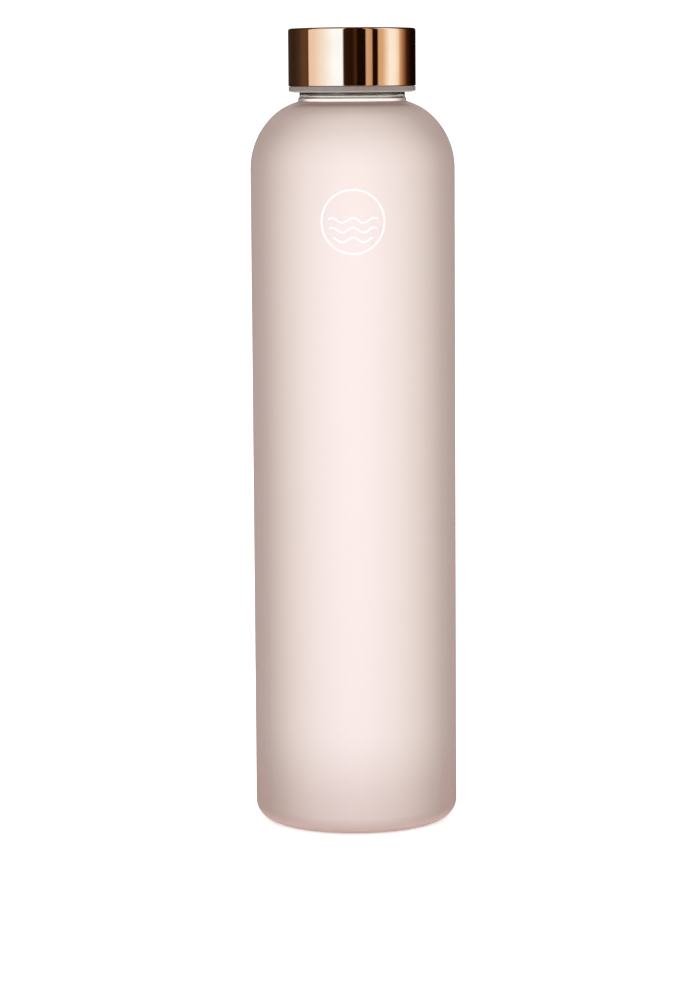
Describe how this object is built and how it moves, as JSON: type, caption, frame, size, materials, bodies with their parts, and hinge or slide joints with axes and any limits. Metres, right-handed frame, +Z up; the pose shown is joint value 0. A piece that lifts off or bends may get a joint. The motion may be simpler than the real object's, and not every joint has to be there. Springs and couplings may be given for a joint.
{
  "type": "glass water bottle",
  "caption": "Tall cylindrical frosted glass water bottle with rounded shoulders, a short clear neck and a screw cap: polished metal shell over a threaded plastic liner with a sealing ring.",
  "frame": {"origin": "centre of the resting ring, on the plane the bottle stands on", "axes": "+Z up along the bottle's axis; the printed front faces -Y"},
  "size_m": [0.069, 0.069, 0.27],
  "materials": {
    "frosted_glass": "frosted pale pink outside, clear at the neck",
    "rose_gold_metal": "polished, rose-gold anodised",
    "liner_plastic": "natural translucent polypropylene",
    "seal_silicone": "satin",
    "white_print": "screen-printed ink"
  },
  "bodies": {
    "bottle": {"glass_body": "frosted_glass"},
    "seal": {"cap_seal": "seal_silicone"},
    "cap": {"cap_shell": "rose_gold_metal", "cap_liner": "liner_plastic"}
  },
  "joints": [
    {"name": "cap_rise", "type": "slide", "parent": "bottle", "child": "seal", "axis": [0, 0, 1], "range_m": [0, 0.0212]},
    {"name": "cap_turn", "type": "hinge", "parent": "seal", "child": "cap", "pos_m": [0, 0, 0.25], "axis": [0, 0, 1], "range_deg": [0, 1800]}
  ],
  "couplings": [
    {"joint": "cap_rise", "follows": "cap_turn", "m_per_rad": 0.00067376}
  ]
}
